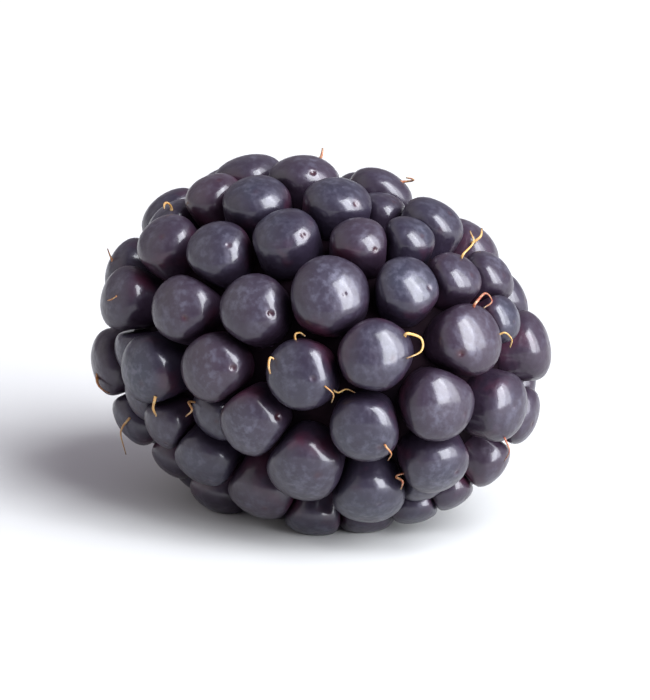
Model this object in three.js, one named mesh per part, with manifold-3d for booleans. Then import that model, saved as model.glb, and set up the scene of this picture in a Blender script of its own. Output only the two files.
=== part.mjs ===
// A ripe bramble berry, picked without its calyx and lying on its side.
//
// The fruit grew as one piece: dozens of small drupelets, fused at their feet to a fleshy
// receptacle whose torn end shows as a recessed scar at the stalk end. It is one closed solid.
//
// Millimetres, +Z up. +X runs along the berry's long axis from the stalk end to the tip. The
// origin is on the resting surface, under the middle of the berry's bounding box.
import * as THREE from "three";
import { ConvexHull } from "three/addons/math/ConvexHull.js";
import Module from "manifold-3d";

const wasm = await Module();
wasm.setup();

// ---- Driving dimensions ------------------------------------------------------------------
// The drupelets' middles lie on a "seat": a blunt egg, whose half-length and half-width these are.
const SEAT_HALF_LENGTH = 13.8;
const SEAT_RADIUS = 10.05;
const SEAT_BLUNTNESS = 2.3; // 2 is an ellipsoid; more is closer to a drum
const SEAT_TAPER = 0.06; // how much slimmer the tip is than the middle

const DRUPELET_SPREAD = 1.08; // how far a drupelet swells against its neighbours, for its radius
const DRUPELET_CAP = 0.65; // how far its rounded top stands out of the seat, for its radius
const DRUPELET_ROOT = 2.6; // how far in from the seat its narrowing root would reach
const PACKING = 1.04; // distance that two neighbours keep, as a share of their mean width

const FILL_PLACES = 118; // even places over the whole seat, used where no row below is listed
const FILL_WIDTH = 4.2; // mean width of the drupelets put in them
const FILL_VARIATION = 0.16; // how much that varies, as a share
const FILL_DEPTH = 0.3; // how far they are sunk
const FILL_CLEARANCE = 3.3; // distance that they keep from the listed drupelets
const GAP_PLACES = 4000; // even places over the seat where the width of the gaps is looked at
const WIDEST_GAP = 1.22; // radius of the largest gap that isn't filled by one squeezed drupelet more
const SQUEEZE = 0.2; // how much wider than its gap a squeezed drupelet is, on each side
const SQUEEZED_DEPTH = 0.7; // how far a squeezed drupelet is sunk among its neighbours

const CREVICE_DEPTH = 0.9; // from the seat in to the bottom of a gap between the drupelets
const CREASE_HEIGHT = 0.6; // how high two drupelets touch, as a share of where their caps would meet
const CREVICE_STEP = 0.8; // length of one edge along a crevice
const CREVICE_SHARPNESS = 16; // how suddenly the skin turns in from a drupelet to its crevices
const LEAST_SHARE = 0.1; // least pull of each of three drupelets on the pit between them
const SKIN_SHARES = [0.3, 0.6, 0.85, 1]; // the rings of points from a drupelet's top to its crevices
const RING_SLOPE = 1.1; // how far round the egg, in radians, the crevices lie on average

const SCAR_RADIUS = 3.1; // the receptacle's torn end
const SCAR_RECESS = 1.8; // from the seat's end in to the scar
const SCAR_RIM = 0.92; // most of the way to its crevices that the flat of the scar reaches
const SCAR_DIMPLE = 0.7; // depth of the pith's dimple in the middle of the scar
const DIMPLE_RADIUS = 0.9; // how wide that dimple is, from its middle
const SCAR_CLEARANCE = 5.3; // radius of the ring of drupelets' middles round the scar
const SCAR_LEEWAY = 0.8; // how far inside that ring an even place still counts, and is moved out

const SAG = 0.95; // how far the berry's own weight lets it down onto the surface
const SETTLE_REACH = 0.5; // drupelets this close above the surface come down to it as well
const REST_FLAT = 0.3; // how much the drupelets that it lies on are flattened

// The side that faces this way is laid out drupelet by drupelet, as rows from crown to floor.
const NEAR_AZIMUTH = THREE.MathUtils.degToRad(42);
const NEAR_ELEVATION = THREE.MathUtils.degToRad(17);
// Each drupelet: across to the right, up from the berry's middle, its width, and how far it is
// sunk among its neighbours, if it is.
const NEAR_ROWS = [
  [[-6.6, 9.1, 3.4], [-1.2, 10.1, 4.1], [3.8, 9.5, 3.9]],
  [[-3.9, 8.7, 4.0], [1.0, 8.6, 4.0], [6.8, 7.4, 3.8]],
  [[-9.5, 6.3, 3.7], [-6.2, 5.7, 3.8], [-2.2, 6.6, 3.9], [2.3, 6.2, 3.4], [5.3, 6.5, 3.0]],
  [[-12.0, 2.8, 3.9], [-8.3, 2.2, 4.0], [-4.1, 2.2, 4.0], [0.6, 3.0, 4.7], [5.2, 3.4, 3.8]],
  [[8.0, 4.1, 3.2], [10.2, 4.1, 3.3], [10.8, 1.6, 2.8], [8.8, 0.3, 4.3], [12.6, -0.1, 4.2]],
  [[-13.0, -1.4, 4.2], [-10.4, -1.7, 4.2], [-6.5, -1.5, 4.1], [-1.2, -1.8, 4.1], [3.2, -0.6, 4.3]],
  [[-11.8, -4.5, 3.8], [-4.1, -4.8, 4.1], [2.6, -5.0, 4.0], [7.1, -3.6, 4.3], [10.9, -3.8, 4.0]],
  [[-9.3, -4.9, 3.3], [-6.8, -4.7, 3.4, 0.9], [-7.1, -6.8, 4.1], [-1.0, -7.3, 4.6]],
  [[6.9, -7.3, 3.9], [12.1, -4.5, 3.7], [-9.6, -7.4, 3.2], [-6.8, -9.2, 3.8], [-3.4, -9.0, 4.5]],
  [[2.8, -9.0, 4.4], [10.0, -7.2, 3.5], [6.0, -9.7, 3.6], [8.2, -9.8, 3.4]],
  [[2.6, -10.6, 4.2], [-0.6, -9.9, 3.8]],
];
const NEAR_LIMIT = -1.0; // the rows cover everything that lies nearer than this
const ROW_HOLD = 0.4; // how firmly a listed drupelet keeps its place

const PACKING_ROUNDS = 160;
const PACKING_GAIN = 0.225;

const SURFACE_BLOCK = [80, 80, 20]; // stands for the resting surface, and is cut from the berry

// ---- The seat ----------------------------------------------------------------------------
// 1 on the seat, less than 1 inside it.
function seatLevel(point) {
  const along = point.x / SEAT_HALF_LENGTH;
  const out = (Math.hypot(point.y, point.z) * (1 + SEAT_TAPER * along)) / SEAT_RADIUS;
  return Math.abs(along) ** SEAT_BLUNTNESS + out ** SEAT_BLUNTNESS;
}

// Moves a point straight away from the seat's middle, or towards it, until it is on the seat.
function ontoSeat(point) {
  for (let step = 0; step < 6; step += 1) {
    point.multiplyScalar(seatLevel(point) ** (-1 / SEAT_BLUNTNESS));
  }
  return point;
}

// The outward direction at a point of the seat.
function outwardAt(point) {
  const step = 0.01;
  const slope = (axis) => {
    const ahead = point.clone().addScaledVector(axis, step);
    const behind = point.clone().addScaledVector(axis, -step);
    return seatLevel(ahead) - seatLevel(behind);
  };
  const [x, y, z] = [[1, 0, 0], [0, 1, 0], [0, 0, 1]].map((axis) => slope(new THREE.Vector3(...axis)));
  return new THREE.Vector3(x, y, z).normalize();
}

const RIGHT = new THREE.Vector3(Math.cos(NEAR_AZIMUTH), Math.sin(NEAR_AZIMUTH), 0);
const TOWARDS = new THREE.Vector3(
  Math.sin(NEAR_AZIMUTH) * Math.cos(NEAR_ELEVATION),
  -Math.cos(NEAR_AZIMUTH) * Math.cos(NEAR_ELEVATION),
  Math.sin(NEAR_ELEVATION),
);
const UP = new THREE.Vector3().crossVectors(TOWARDS, RIGHT);

// The nearest point of the seat at a place given across and up, or its rim if the place is outside.
function nearPlace(across, up) {
  const at = (near) => new THREE.Vector3()
    .addScaledVector(RIGHT, across)
    .addScaledVector(UP, up)
    .addScaledVector(TOWARDS, near);
  let innermost = 20;
  for (let near = 20; near > -20; near -= 0.25) {
    if (seatLevel(at(near)) < 1) {
      return ontoSeat(at(near));
    }
    if (seatLevel(at(near)) < seatLevel(at(innermost))) {
      innermost = near;
    }
  }
  return ontoSeat(at(innermost));
}

// ---- Where the drupelets sit -------------------------------------------------------------
// A steady number from 0 to 1 for each index, so that every build grows the same berry.
function wobble(index) {
  const value = Math.sin(index * 12.9898 + 4.1) * 43758.5453;
  return value - Math.floor(value);
}

function listedDrupelets() {
  return NEAR_ROWS.flat().map(([across, up, width, sunk = 0]) => {
    const middle = nearPlace(across, up);
    return { middle, width, sunk, home: middle.clone() };
  });
}

// One of a number of places that are spread evenly over the whole seat.
function evenPlace(index, count) {
  const along = 1 - (2 * (index + 0.5)) / count;
  const turn = index * Math.PI * (3 - Math.sqrt(5));
  const out = Math.sqrt(1 - along * along);
  return ontoSeat(new THREE.Vector3(along, out * Math.cos(turn), out * Math.sin(turn)));
}

// Even places all over the seat, less those at the scar and those that the listed rows cover.
function fillDrupelets(listed) {
  const fill = [];
  for (let index = 0; index < FILL_PLACES; index += 1) {
    const middle = evenPlace(index, FILL_PLACES);
    const atScar = middle.x < 0 && Math.hypot(middle.y, middle.z) < SCAR_CLEARANCE - SCAR_LEEWAY;
    const covered = middle.dot(TOWARDS) > NEAR_LIMIT
      || listed.some((other) => middle.distanceTo(other.middle) < FILL_CLEARANCE);
    if (!atScar && !covered) {
      const width = FILL_WIDTH * (1 + FILL_VARIATION * (2 * wobble(index) - 1));
      fill.push({ middle, width, sunk: FILL_DEPTH, home: null });
    }
  }
  return fill;
}

// One round in which the drupelets that crowd each other move apart along the seat.
function moveApart(drupelets) {
  const moved = drupelets.map((drupelet) => {
    const middle = drupelet.middle.clone();
    for (const other of drupelets) {
      const wanted = (PACKING * (drupelet.width + other.width)) / 2;
      const apart = drupelet.middle.distanceTo(other.middle);
      if (other !== drupelet && apart < wanted) {
        const away = drupelet.middle.clone().sub(other.middle);
        middle.addScaledVector(away, (PACKING_GAIN * (wanted - apart)) / apart);
      }
    }
    if (drupelet.home) {
      middle.lerp(drupelet.home, ROW_HOLD);
    }
    const out = Math.hypot(middle.y, middle.z);
    if (middle.x < 0 && out < SCAR_CLEARANCE) {
      middle.y *= SCAR_CLEARANCE / out;
      middle.z *= SCAR_CLEARANCE / out;
    }
    return ontoSeat(middle);
  });
  drupelets.forEach((drupelet, index) => {
    drupelet.middle = moved[index];
  });
}

// The triangles of neighbours, all round the seat.
function trianglesOf(cells) {
  const cellOf = new Map(cells.map((cell) => [cell.seat, cell]));
  const hull = new ConvexHull().setFromPoints(cells.map((cell) => cell.seat));
  return hull.faces.map((face) => [0, 1, 2].map((corner) => cellOf.get(face.getEdge(corner).head().point)));
}

// Where three cells meet on the seat: the place between their middles that suits their widths.
function meetingOf([first, second, third]) {
  const u = second.seat.clone().sub(first.seat);
  const v = third.seat.clone().sub(first.seat);
  const uv = u.dot(v);
  const square = u.lengthSq() * v.lengthSq() - uv * uv;
  const alongU = (u.lengthSq() + first.radius ** 2 - second.radius ** 2) / 2;
  const alongV = (v.lengthSq() + first.radius ** 2 - third.radius ** 2) / 2;
  const toSecond = (alongU * v.lengthSq() - alongV * uv) / square;
  const toThird = (alongV * u.lengthSq() - alongU * uv) / square;
  const shares = [1 - toSecond - toThird, toSecond, toThird].map((share) => Math.max(share, LEAST_SHARE));
  return ontoSeat(new THREE.Vector3()
    .addScaledVector(first.seat, shares[0])
    .addScaledVector(second.seat, shares[1])
    .addScaledVector(third.seat, shares[2]));
}

// Small drupelets, squeezed in where the others leave a wide gap.
function squeezedDrupelets(cells) {
  const places = Array.from({ length: GAP_PLACES }, (_, index) => evenPlace(index, GAP_PLACES));
  const gapAt = (place, all) => Math.min(...all.map((cell) => cell.seat.distanceTo(place) - cell.radius));
  const squeezed = [];
  for (;;) {
    const gaps = places.map((place) => gapAt(place, [...cells, ...squeezed]));
    const gap = Math.max(...gaps);
    if (gap < WIDEST_GAP) {
      return squeezed;
    }
    squeezed.push({ seat: places[gaps.indexOf(gap)], radius: gap + SQUEEZE, sunk: SQUEEZED_DEPTH });
  }
}

// A drupelet is a low rounded cap on a longer root, both half an ellipsoid. This gives its middle
// and half-axes: across, outward and inward.
function eggOf(cell) {
  const outward = outwardAt(cell.seat);
  return {
    outward,
    centre: cell.seat.clone().addScaledVector(outward, -cell.sunk),
    across: cell.radius * DRUPELET_SPREAD,
    cap: cell.radius * DRUPELET_SPREAD * DRUPELET_CAP,
  };
}

function lowestPoint(egg) {
  const tilt = egg.outward.z;
  return egg.centre.z - Math.hypot(egg.cap * tilt, egg.across * Math.sqrt(1 - tilt * tilt));
}

// Lets the berry down onto the surface, and gives the surface's height.
function settle(eggs) {
  const bottoms = eggs.map(lowestPoint);
  const surface = Math.min(...bottoms) + SAG;
  eggs.forEach((egg, index) => {
    if (bottoms[index] < surface + SETTLE_REACH) {
      egg.centre.z += surface - REST_FLAT - bottoms[index];
    }
  });
  return surface;
}

// ---- The skin ----------------------------------------------------------------------------
// The skin is one patch for each drupelet and one for the scar. The patches share their edges,
// which run along the bottom of the crevices.

// How far outward from a point a drupelet's cap is, or 0 where it isn't over the point.
function heightOf(egg, point) {
  const spoke = point.clone().sub(egg.centre);
  const height = spoke.dot(egg.outward);
  const aside = spoke.addScaledVector(egg.outward, -height).length() / egg.across;
  return aside < 1 ? Math.max(0, egg.cap * Math.sqrt(1 - aside * aside) - height) : 0;
}

// The skin on the way from a drupelet's top, at share 0, to a point of its crevices, at share 1.
function drupeletSkin(egg, crevice, share) {
  const spoke = crevice.clone().sub(egg.centre);
  const side = spoke.clone().addScaledVector(egg.outward, -spoke.dot(egg.outward)).normalize();
  const eggRadius = (angle) => {
    const along = angle < Math.PI / 2 ? egg.cap : DRUPELET_ROOT;
    return 1 / Math.hypot(Math.cos(angle) / along, Math.sin(angle) / egg.across);
  };
  const whole = spoke.angleTo(egg.outward);
  const angle = share * THREE.MathUtils.lerp(RING_SLOPE, whole, share);
  const gap = spoke.length() / eggRadius(whole) - 1;
  const radius = eggRadius(angle) * (1 + gap * share ** CREVICE_SHARPNESS);
  return egg.centre.clone()
    .addScaledVector(egg.outward, radius * Math.cos(angle))
    .addScaledVector(side, radius * Math.sin(angle));
}

// The same for the scar: a torn face with a dimple in its middle, and a rim round it.
function scarSkin(crevice, share) {
  const rim = Math.hypot(crevice.y, crevice.z);
  const out = share < 1 ? (share * Math.min(SCAR_RADIUS, SCAR_RIM * rim)) / SKIN_SHARES.at(-2) : rim;
  const face = SCAR_RECESS - SEAT_HALF_LENGTH + SCAR_DIMPLE * Math.exp(-((out / DIMPLE_RADIUS) ** 2));
  return new THREE.Vector3(share < 1 ? face : crevice.x, (crevice.y * out) / rim, (crevice.z * out) / rim);
}

// The bottom of the gap where three cells meet.
function pitOf(cells) {
  const pit = meetingOf(cells);
  return pit.addScaledVector(outwardAt(pit), -CREVICE_DEPTH);
}

// The points of a crevice between two pits, raised to where the two drupelets touch.
function creviceBetween(cells, fromPit, toPit) {
  const count = Math.max(1, Math.round(fromPit.distanceTo(toPit) / CREVICE_STEP));
  const points = [];
  for (let index = 1; index < count; index += 1) {
    const point = fromPit.clone().lerp(toPit, index / count);
    const heights = cells.filter((cell) => cell.egg).map((cell) => heightOf(cell.egg, point));
    points.push(point.addScaledVector(outwardAt(point), CREASE_HEIGHT * Math.min(...heights)));
  }
  return points;
}

// One closed surface: every cell's patch, with pits and crevices shared by the cells round them.
function skinGeometry(cells) {
  const points = [];
  const faces = [];
  const add = (point) => points.push(point) - 1;

  const nextRound = new Map(cells.map((cell) => [cell, new Map()]));
  for (const round of trianglesOf(cells)) {
    const pit = add(pitOf(round));
    round.forEach((cell, corner) => {
      const [neighbour, following] = [round[(corner + 1) % 3], round[(corner + 2) % 3]];
      nextRound.get(cell).set(neighbour, { following, pit });
    });
  }

  const crevices = new Map(cells.map((cell) => [cell, new Map()]));
  cells.forEach((cell, index) => {
    for (const neighbour of nextRound.get(cell).keys()) {
      if (cells.indexOf(neighbour) > index) {
        const after = nextRound.get(cell).get(neighbour).pit;
        const before = nextRound.get(neighbour).get(cell).pit;
        const line = creviceBetween([cell, neighbour], points[before], points[after]).map(add);
        crevices.get(cell).set(neighbour, line);
        crevices.get(neighbour).set(cell, [...line].reverse());
      }
    }
  });

  for (const cell of cells) {
    const edge = [];
    const start = nextRound.get(cell).keys().next().value;
    let neighbour = start;
    do {
      const { following, pit } = nextRound.get(cell).get(neighbour);
      edge.push(...crevices.get(cell).get(neighbour), pit);
      neighbour = following;
    } while (neighbour !== start);

    const top = add(cell.skin(points[edge[0]], 0));
    let inner = edge.map(() => top);
    for (const share of SKIN_SHARES) {
      const outer = share < 1 ? edge.map((at) => add(cell.skin(points[at], share))) : edge;
      for (let at = 0; at < edge.length; at += 1) {
        const next = (at + 1) % edge.length;
        const [a, b, c, d] = [inner[at], outer[at], outer[next], inner[next]];
        if (a === top) {
          faces.push(a, b, c);
        } else if (points[a].distanceTo(points[c]) < points[b].distanceTo(points[d])) {
          faces.push(a, b, c, a, c, d);
        } else {
          faces.push(a, b, d, b, c, d);
        }
      }
      inner = outer;
    }
  }

  const geometry = new THREE.BufferGeometry().setFromPoints(points);
  geometry.setIndex(faces);
  return geometry;
}

// ---- The berry ---------------------------------------------------------------------------
function solidOf(geometry) {
  const welded = new wasm.Mesh({
    numProp: 3,
    vertProperties: new Float32Array(geometry.attributes.position.array),
    triVerts: new Uint32Array(geometry.index.array),
  });
  welded.merge();
  return new wasm.Manifold(welded);
}

const listed = listedDrupelets();
const drupelets = [...listed, ...fillDrupelets(listed)];
for (let round = 0; round < PACKING_ROUNDS; round += 1) {
  moveApart(drupelets);
}

const scar = { seat: new THREE.Vector3(-SEAT_HALF_LENGTH, 0, 0), radius: SCAR_RADIUS, skin: scarSkin };
const packed = drupelets.map(({ middle, width, sunk }) => ({ seat: middle, radius: width / 2, sunk }));
packed.push(...squeezedDrupelets([scar, ...packed]));
for (const cell of packed) {
  cell.egg = eggOf(cell);
  cell.skin = (crevice, share) => drupeletSkin(cell.egg, crevice, share);
}
const surface = settle(packed.map((cell) => cell.egg));

const beneath = new THREE.BoxGeometry(...SURFACE_BLOCK);
beneath.translate(0, 0, surface - SURFACE_BLOCK[2] / 2);
const lying = solidOf(skinGeometry([scar, ...packed])).subtract(solidOf(beneath)).getMesh();

const geometry = new THREE.BufferGeometry();
geometry.setAttribute("position", new THREE.BufferAttribute(new Float32Array(lying.vertProperties), 3));
geometry.setIndex(new THREE.BufferAttribute(new Uint32Array(lying.triVerts), 1));
geometry.computeBoundingBox();
const middle = geometry.boundingBox.getCenter(new THREE.Vector3());
geometry.translate(-middle.x, -middle.y, -surface);
geometry.computeVertexNormals();

const berry = new THREE.Mesh(
  geometry,
  new THREE.MeshStandardMaterial({ color: 0x2c2836, roughness: 0.38, metalness: 0 }),
);
berry.name = "berry";

const group = new THREE.Group();
group.name = "bramble_berry";
group.add(berry);

export default group;
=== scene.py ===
"""The looks of a ripe bramble berry, lying on its side on a pale floor.

Lengths are worked out in millimetres, as in the CAD part, and put into Blender in metres. +X runs
from the stalk end to the tip, +Z is up, and the origin is under the middle of the berry.
"""

import math

import bpy
import numpy as np
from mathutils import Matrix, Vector
from mathutils.bvhtree import BVHTree


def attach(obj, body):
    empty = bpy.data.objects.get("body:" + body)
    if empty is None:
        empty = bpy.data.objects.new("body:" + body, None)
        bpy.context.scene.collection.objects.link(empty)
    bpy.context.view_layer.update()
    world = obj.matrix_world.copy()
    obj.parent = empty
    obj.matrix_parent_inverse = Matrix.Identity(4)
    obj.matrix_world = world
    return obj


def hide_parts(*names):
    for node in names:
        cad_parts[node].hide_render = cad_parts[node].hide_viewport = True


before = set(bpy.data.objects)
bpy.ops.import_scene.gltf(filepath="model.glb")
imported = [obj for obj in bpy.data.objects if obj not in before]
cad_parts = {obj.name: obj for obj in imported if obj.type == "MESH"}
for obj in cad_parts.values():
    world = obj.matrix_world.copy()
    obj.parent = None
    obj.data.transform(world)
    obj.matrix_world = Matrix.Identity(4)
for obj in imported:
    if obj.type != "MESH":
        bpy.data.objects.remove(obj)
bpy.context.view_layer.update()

MM_PER_M = 1000
FULL_TURN = 6.28  # in radians, for random directions

# ---- The part's own dimensions --------------------------------------------------------------
# The seat is the blunt egg that the drupelets' middles lie on.
SEAT_HALF_LENGTH = 13.8
SEAT_RADIUS = 10.05
SEAT_BLUNTNESS = 2.3
SEAT_TAPER = 0.06
SEAT_ROUNDS = 6
SLOPE_STEP = 0.01

DRUPELET_SPREAD = 1.08
DRUPELET_CAP = 0.65
PACKING = 1.04

# Drupelets that fill the sides that the photo doesn't show, and small ones in the widest gaps.
FILL_PLACES = 118
FILL_WIDTH = 4.2
FILL_VARIATION = 0.16
FILL_DEPTH = 0.3
FILL_CLEARANCE = 3.3
GAP_PLACES = 4000
WIDEST_GAP = 1.22  # radius of the widest gap that is left open
SQUEEZE = 0.2
SQUEEZED_DEPTH = 0.7

# The scar at the stalk end, where the berry was torn off.
SCAR_RADIUS = 3.1
SCAR_RECESS = 1.8
SCAR_DIMPLE = 0.7
SCAR_CLEARANCE = 5.3
SCAR_LEEWAY = 0.8

# How far the berry sags, how near the surface a drupelet has to be to come down onto it, and how
# much of that drupelet is flattened.
SAG = 0.95
SETTLE_REACH = 0.5
REST_FLAT = 0.3

# The near side is the one in the photo, whose camera is round from -Y towards +X, and up.
NEAR_AZIMUTH = math.radians(42)
NEAR_ELEVATION = math.radians(17)
# Each drupelet on the near side: across, up, its width, and how far it is sunk, if it is.
NEAR_ROWS = [
    [(-6.6, 9.1, 3.4), (-1.2, 10.1, 4.1), (3.8, 9.5, 3.9)],
    [(-3.9, 8.7, 4.0), (1.0, 8.6, 4.0), (6.8, 7.4, 3.8)],
    [(-9.5, 6.3, 3.7), (-6.2, 5.7, 3.8), (-2.2, 6.6, 3.9), (2.3, 6.2, 3.4), (5.3, 6.5, 3.0)],
    [(-12.0, 2.8, 3.9), (-8.3, 2.2, 4.0), (-4.1, 2.2, 4.0), (0.6, 3.0, 4.7), (5.2, 3.4, 3.8)],
    [(8.0, 4.1, 3.2), (10.2, 4.1, 3.3), (10.8, 1.6, 2.8), (8.8, 0.3, 4.3), (12.6, -0.1, 4.2)],
    [(-13.0, -1.4, 4.2), (-10.4, -1.7, 4.2), (-6.5, -1.5, 4.1), (-1.2, -1.8, 4.1), (3.2, -0.6, 4.3)],
    [(-11.8, -4.5, 3.8), (-4.1, -4.8, 4.1), (2.6, -5.0, 4.0), (7.1, -3.6, 4.3), (10.9, -3.8, 4.0)],
    [(-9.3, -4.9, 3.3), (-6.8, -4.7, 3.4, 0.9), (-7.1, -6.8, 4.1), (-1.0, -7.3, 4.6)],
    [(6.9, -7.3, 3.9), (12.1, -4.5, 3.7), (-9.6, -7.4, 3.2), (-6.8, -9.2, 3.8), (-3.4, -9.0, 4.5)],
    [(2.8, -9.0, 4.4), (10.0, -7.2, 3.5), (6.0, -9.7, 3.6), (8.2, -9.8, 3.4)],
    [(2.6, -10.6, 4.2), (-0.6, -9.9, 3.8)],
]
NEAR_LIMIT = -1.0  # how near to the camera a drupelet that isn't listed can start
ROW_HOLD = 0.4  # how much of the way back to its place a listed one goes in each round
PACKING_ROUNDS = 160
PACKING_GAIN = 0.225
SIGHT_DEPTHS = np.arange(20, -20, -0.25)

# ---- The drupelets' skin --------------------------------------------------------------------
# Each drupelet is a plump cap on a root, flattened where its neighbours press on it.
SKIN_SEED = 7
ROOT_DEPTH = 2.6
ROOT_FULLNESS = 4  # 2 is an ellipsoid; more is closer to a cylinder
PRESS_SHARPNESS = 8  # how flat neighbours press each other, and how sharp the flat's edge is
PRESS_REACH = 2.4  # how many radii away a neighbour can be and still press
PRESS_START = 0.9  # share of the way between two middles that both skins must cover to press
LEAST_FLAT = 0.3  # how near a drupelet's middle a neighbour can press it
DENTS = [(1.6, 1.0), (2.7, 0.6), (4.6, 0.28)]  # how close together, and how strong
DENT_SPACING = 1.7
DENT_SIZE = 0.011  # unevenness of the skin, as a share
SPOKES = 36
PIT_RINGS = [0.0, 0.03, 0.06, 0.09, 0.12, 0.155, 0.2, 0.26, 0.34]
CAP_RINGS = list(np.linspace(0.45, 2.2, 14))
ROOT_RINGS = [2.42, 2.68, 2.94, math.pi]
RINGS = np.array(PIT_RINGS + CAP_RINGS + ROOT_RINGS)  # angles from the style's scar, in radians

# A style's scar is a pit that leans from a drupelet's top towards the tip. Angles are in radians.
STYLE_LEAN = 0.8
LEAN_SPREAD = 0.14
SWING_SPREAD = 0.35
PIT_ANGLE = 0.09
PIT_DEPTHS = (0.0, 0.06)
SEEN_PIT_DEPTHS = (0.07, 0.12)
PIT_REACH = 0.92  # how far out a listed scar can be, as a share of its drupelet's radius
STAIN_ANGLE = 0.12
PIT_STAINS = (0.1, 0.6)

# The bloom covers the top of a drupelet and thins low down, partly rubbed off and partly painted
# shade on the rims and in the crevices. The skin shows redder low down. Rises are from -1 at the
# root to 1 at the top.
BLOOM_AND_SHADE_RISES = (-0.15, 1.05)
THIN_BLOOM_RISES = (0.55, 0.05)
RED_TINT = -0.12
RED_TINT_SPREAD = 0.16
MOST_RED = 0.25
RED_ANGLE = 1.6
RED_NEAR_SCAR = 0.35

# Drupelets that lean out of line: the drupelet's place, then degrees to the right and upward.
SEEN_LEANS = [
    ((-12.0, 2.8), 8, 0),
    ((-8.3, 2.2), 12, 2),
    ((-4.1, 2.2), 12, 2),
    ((0.6, 3.0), 18, 0),
    ((5.2, 3.4), 6, 3),
    ((-6.5, -1.5), 14, 2),
    ((-1.2, -1.8), 6, 2),
    ((3.2, -0.6), 14, 2),
    ((8.8, 0.3), 4, 4),
    ((-4.1, -4.8), 13, 3),
    ((-1.0, -7.3), 8, 4),
    ((7.1, -3.6), 8, 5),
    ((10.9, -3.8), 8, 3),
    ((12.6, -0.1), 6, 8),
    ((10.2, 4.1), 6, 8),
    ((8.0, 4.1), 0, 7),
    ((2.3, 6.2), 2, 13),
    ((5.3, 6.5), 8, 10),
    ((6.8, 7.4), 6, 4),
    ((-2.2, 6.6), 0, 15),
    ((-6.2, 5.7), 12, 2),
    ((-9.5, 6.3), 10, 4),
    ((1.0, 8.6), 8, 4),
    ((-3.9, 8.7), 8, 2),
    ((3.8, 9.5), 12, 0),
    ((2.8, -9.0), 4, 4),
    ((10.0, -7.2), 10, 0),
    ((-7.1, -6.8), 10, 4),
]
# Scars of styles that can be seen on the near side: the drupelet's place, then the scar's.
SEEN_SCARS = [
    ((-2.2, 6.6), (-1.0, 6.6)),
    ((2.3, 6.2), (3.3, 5.6)),
    ((1.0, 8.6), (2.2, 8.5)),
    ((-1.2, 10.1), (-0.5, 10.5)),
    ((-4.1, -4.8), (-2.5, -4.4)),
    ((-4.1, 2.2), (-2.9, 1.8)),
    ((-6.5, -1.5), (-5.2, -1.5)),
    ((8.8, 0.3), (8.3, -0.7)),
    ((-8.3, 2.2), (-8.2, 1.4)),
]
# Shades that can be told apart on the near side, from mauve at 0 to blue-grey at 1.
SEEN_SHADES = [
    ((-6.5, -1.5), 0.0),
    ((8.8, 0.3), 0.0),
    ((2.3, 6.2), 0.1),
    ((7.1, -3.6), 0.2),
    ((12.6, -0.1), 0.2),
    ((-4.1, 2.2), 0.3),
    ((10.9, -3.8), 0.35),
    ((0.6, 3.0), 0.45),
    ((-4.1, -4.8), 0.4),
    ((-1.0, -7.3), 0.6),
    ((2.6, -5.0), 0.8),
    ((-2.2, 6.6), 0.9),
    ((5.2, 3.4), 0.9),
    ((1.0, 8.6), 0.9),
    ((3.2, -0.6), 1.0),
    ((2.8, -9.0), 1.0),
    ((5.3, 6.5), 1.0),
]

# ---- The flesh ------------------------------------------------------------------------------
SCAR_SEED = 31
CORE_DEPTH = 1.5  # from the seat in to the flesh at the bottom of the crevices
CORE_RINGS = 40
CORE_SIDES = 64
CORE_CUT = 1.6  # how far behind the torn face the flesh, painted dark as shade, starts
FACE_X = SCAR_RECESS - SEAT_HALF_LENGTH
FACE_EDGE = 5.2
FACE_BACK = 2.4
FACE_RINGS = 44
FACE_SIDES = 144
FACE_SWELL = 0.45
DIMPLE_RADIUS = 0.85
DIMPLE_LOBES = 3
DIMPLE_UNEVENNESS = 0.12
FIBRES = [(23, 0.05), (37, 0.045), (61, 0.03)]  # how many round the face, and how tall
FIBRE_WANDER = 1.3
FIBRE_WAVES = 2.1
STRAND_COUNT = 11
STRAND_RING = 1.75
STRAND_SHIFT = 0.25
STRAND_HEIGHTS = (0.2, 0.5)
STRAND_WIDTHS = (0.16, 0.24)
CRUMB_COUNT = 26
CRUMB_RINGS = (0.9, 3.3)
CRUMB_HEIGHTS = (-0.16, 0.2)
CRUMB_WIDTHS = (0.12, 0.3)
HOLLOW_HEIGHTS = (0.05, -0.35)
STAIN_RINGS = (2.2, 3.6)
STAIN_RAGGEDNESS = 0.35
STAIN_WAVES = (4.1, 3.3)

# ---- The dried styles -----------------------------------------------------------------------
STYLE_SEED = 19
STYLE_RADIUS = 0.12
STYLE_SIDES = 8
STYLE_STEPS = 22
STYLE_SLOPE = 0.8  # how steeply a style can come down from its highest point
STYLE_SINK = 0.15  # how deep its foot is in the skin
GROWN_SINK = 0.08  # the same, for one that grows from its scar
THICKNESSES = (0.75, 1.1)
FLATNESS = 0.25
TAPER = 0.55
FOOT_SWELL = 0.35
FOOT_SHARE = 0.08
STYLE_CHANCE = 0.42  # share of the hidden drupelets, clear of the floor, that have kept theirs
HIDDEN_LIMIT = 1.0  # a drupelet whose middle is nearer to the camera than this counts as seen
FLOOR_CLEARANCE = 5.0  # least height of the middle of a drupelet that has kept its style
CURLS = (0.4, 1.7)
STYLE_LENGTHS = (0.9, 2.2)
CURL_WANDER = 0.12
START_WANDER = 0.5
RED_RARITY = 1.5  # above 1 leaves more of them golden
END_SHARPNESS = 6  # how near the tip the brown end starts
SIGHT_START = 30  # how far from the berry's middle a line of sight starts
OVER_SKIN = 6  # far enough from a drupelet's middle to be outside it
NUDGE = 0.05  # keeps a length above zero
ANY_WAY = [0.3, 0.5, 0.8]  # a direction that no hair takes at its foot
# How far beside and above a point of a style the skin is felt for, so it lies across a crevice.
STYLE_FOOTING = [(0, 0), (0.35, 0), (-0.35, 0), (0, 0.35), (0, -0.35)]
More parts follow.
